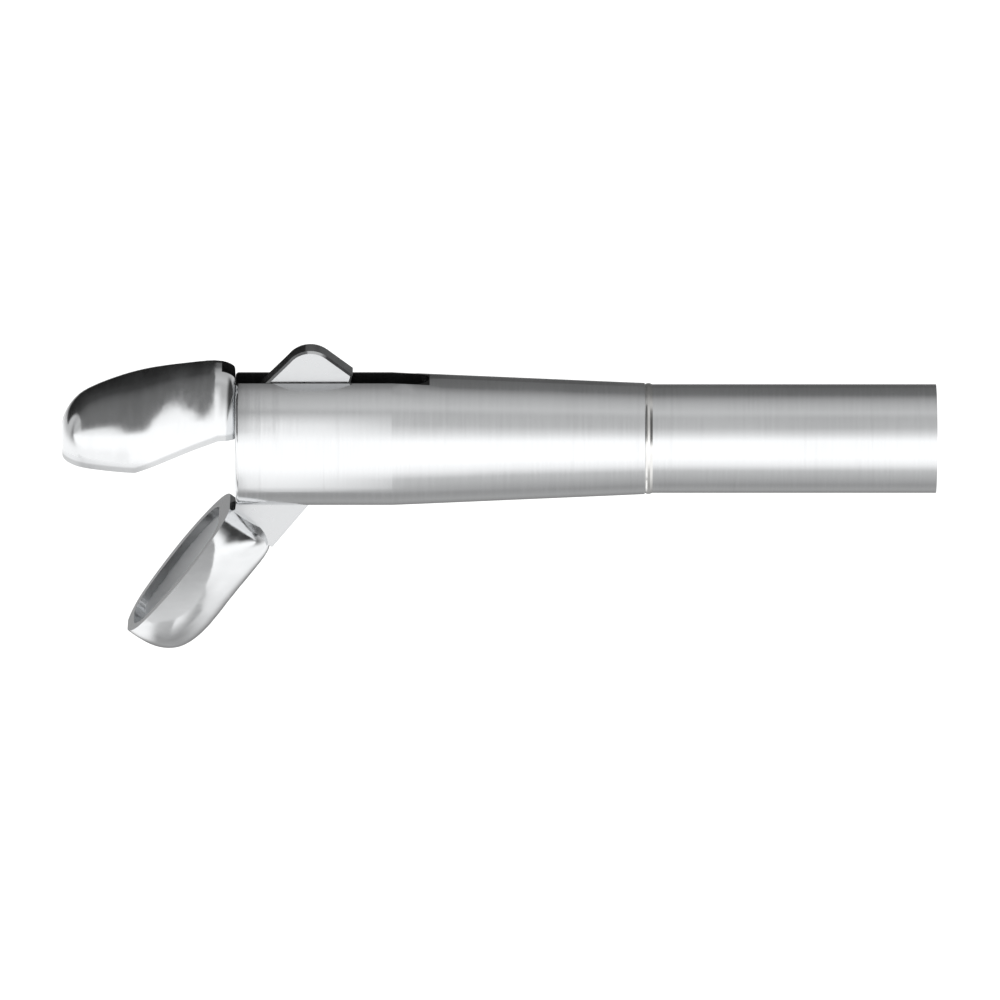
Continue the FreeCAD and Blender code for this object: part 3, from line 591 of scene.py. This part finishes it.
def group_node(tree, name, place, values):
    """Group node fed with the place, with plain values for its other inputs."""
    node = tree.nodes.new("ShaderNodeGroup")
    node.node_tree = GROUPS[name]
    tree.links.new(place["Object"], node.inputs["Vector"])
    if "Normal" in node.inputs:
        tree.links.new(place["Normal"], node.inputs["Normal"])
    for label, value in values.items():
        node.inputs[label].default_value = value
    return node.outputs


def surface(tree, colour, tone, rough, metallic):
    """Principled surface in a colour times the tone, giving its node."""
    tint = tree.nodes.new("ShaderNodeVectorMath")
    tint.operation = "SCALE"
    tint.inputs[0].default_value = colour
    tree.links.new(tone, tint.inputs["Scale"])
    shader = tree.nodes.new("ShaderNodeBsdfPrincipled")
    shader.inputs["Metallic"].default_value = metallic
    tree.links.new(tint.outputs["Vector"], shader.inputs["Base Color"])
    tree.links.new(rough, shader.inputs["Roughness"])
    surface_output(tree, "ShaderNodeOutputMaterial", shader.outputs["BSDF"])
    return shader


def steel(name):
    """Stainless steel with the marks of how the piece is finished, and painted shade under its
    masks.
    """
    colour, grain, smear, low, high, depth, bump = STEELS[name]
    material, tree = new_material(name)
    place = tree.nodes.new("ShaderNodeTexCoord").outputs
    marks = group_node(tree, "machining_marks", place, {
        "Grain": grain, "Smear Scale": smear, "Rough Low": low, "Rough High": high,
        "Tone Depth": depth})
    tone, rough = marks["Tone"], marks["Roughness"]
    # Each mask darkens the tone by its painted shade and makes the steel rougher.
    for group, sizes, shade, rougher in MASKS.get(name, []):
        mask = group_node(tree, group, place, sizes)["Mask"]
        tone = product(tree, tone, math_node(tree, "MULTIPLY_ADD", mask, shade - 1.0, 1.0))
        rough = math_node(tree, "MULTIPLY_ADD", mask, rougher, rough)
    shader = surface(tree, colour, tone, rough, 1.0)
    relief = tree.nodes.new("ShaderNodeBump")
    relief.inputs["Strength"].default_value = bump
    relief.inputs["Distance"].default_value = MARK_DEPTH
    tree.links.new(marks["Height"], relief.inputs["Height"])
    tree.links.new(relief.outputs["Normal"], shader.inputs["Normal"])
    return material


def bush_plastic():
    """Machined bearing plastic, tan, with rings left by the lathe."""
    material, tree = new_material("bush_plastic")
    place = tree.nodes.new("ShaderNodeTexCoord").outputs
    marks = group_node(tree, "machining_marks", place, BUSH_MARKS)
    surface(tree, BUSH_TAN, marks["Tone"], marks["Roughness"], 0.0)
    return material


finishes = {name: steel(name) for name in STEELS}
finishes["bush_plastic"] = bush_plastic()
for node, finish in NODE_FINISH.items():
    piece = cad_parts[node]
    piece.data.materials.clear()
    piece.data.materials.append(finishes[finish])

photo_camera()
studio_room()
soft_lamp()
curved_card("jaw_flag", JAW_FLAG, droops=True)
curved_card("slot_flag", SLOT_FLAG, fades_to=SLOT_FLAG_FADE)
curved_card("front_panel", FRONT_PANEL, fades_to=FRONT_PANEL_FADE)
cup_card()
pale_floor()
bpy.context.scene.view_settings.view_transform = "Standard"
